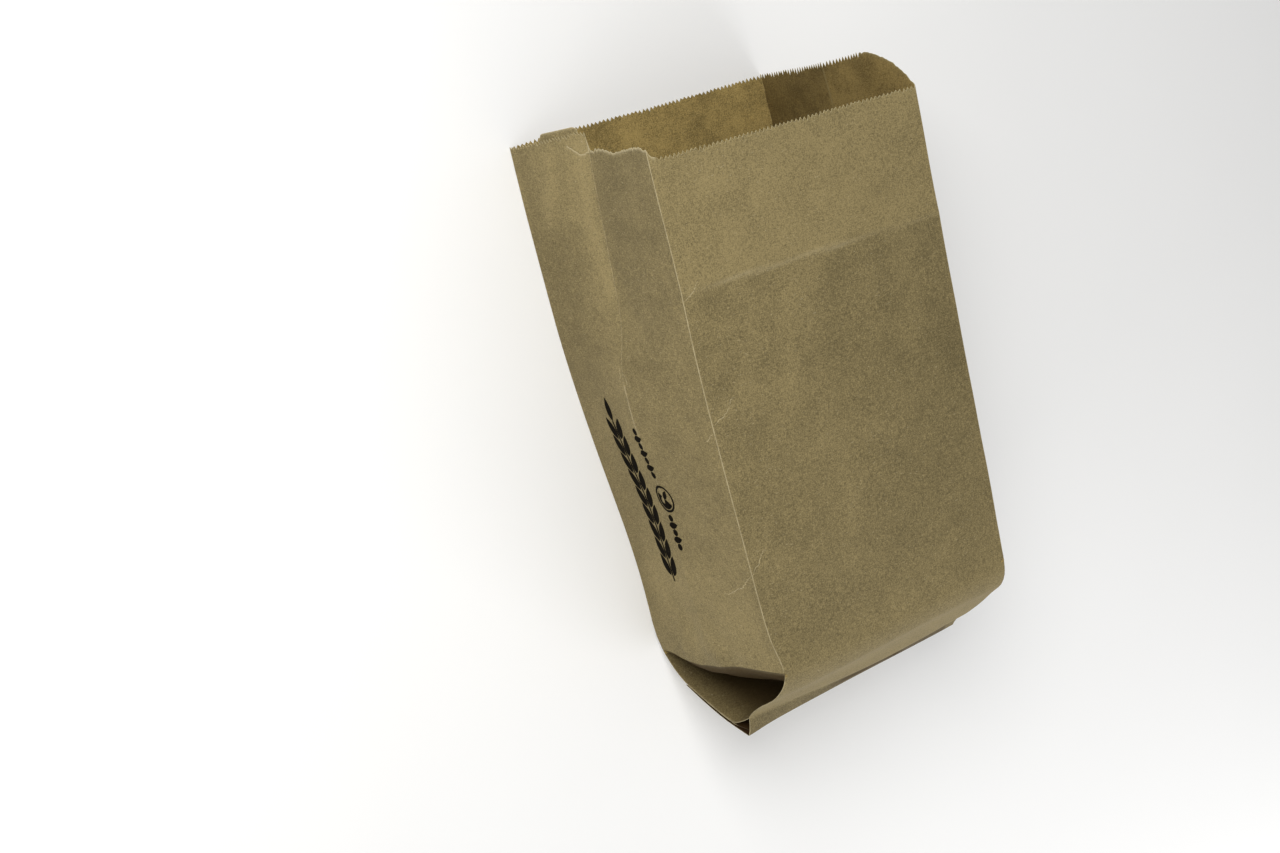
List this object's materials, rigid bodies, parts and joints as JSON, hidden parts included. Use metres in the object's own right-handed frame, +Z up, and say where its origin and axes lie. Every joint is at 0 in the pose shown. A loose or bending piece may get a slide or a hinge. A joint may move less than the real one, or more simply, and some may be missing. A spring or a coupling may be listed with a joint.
{
  "type": "panini bag",
  "caption": "Open gusseted kraft paper bag with a pinched, folded-over bottom and a saw-cut mouth, lying on its back panel.",
  "frame": {"origin": "centre of the bag's box in X and Y, at the underside of the back panel it lies on", "axes": "+X across the width to the right seen from above with the mouth away, +Y from the bottom fold to the mouth, +Z up from the back panel to the front panel"},
  "size_m": [0.142, 0.2832, 0.1072],
  "materials": {
    "kraft_paper": "matt, finely fibrous brown kraft paper, a little smoother outside than inside",
    "dark_ink": "matt black printing ink soaked into the paper"
  },
  "bodies": {
    "root": {"paper_bag": "kraft_paper"}
  },
  "joints": []
}
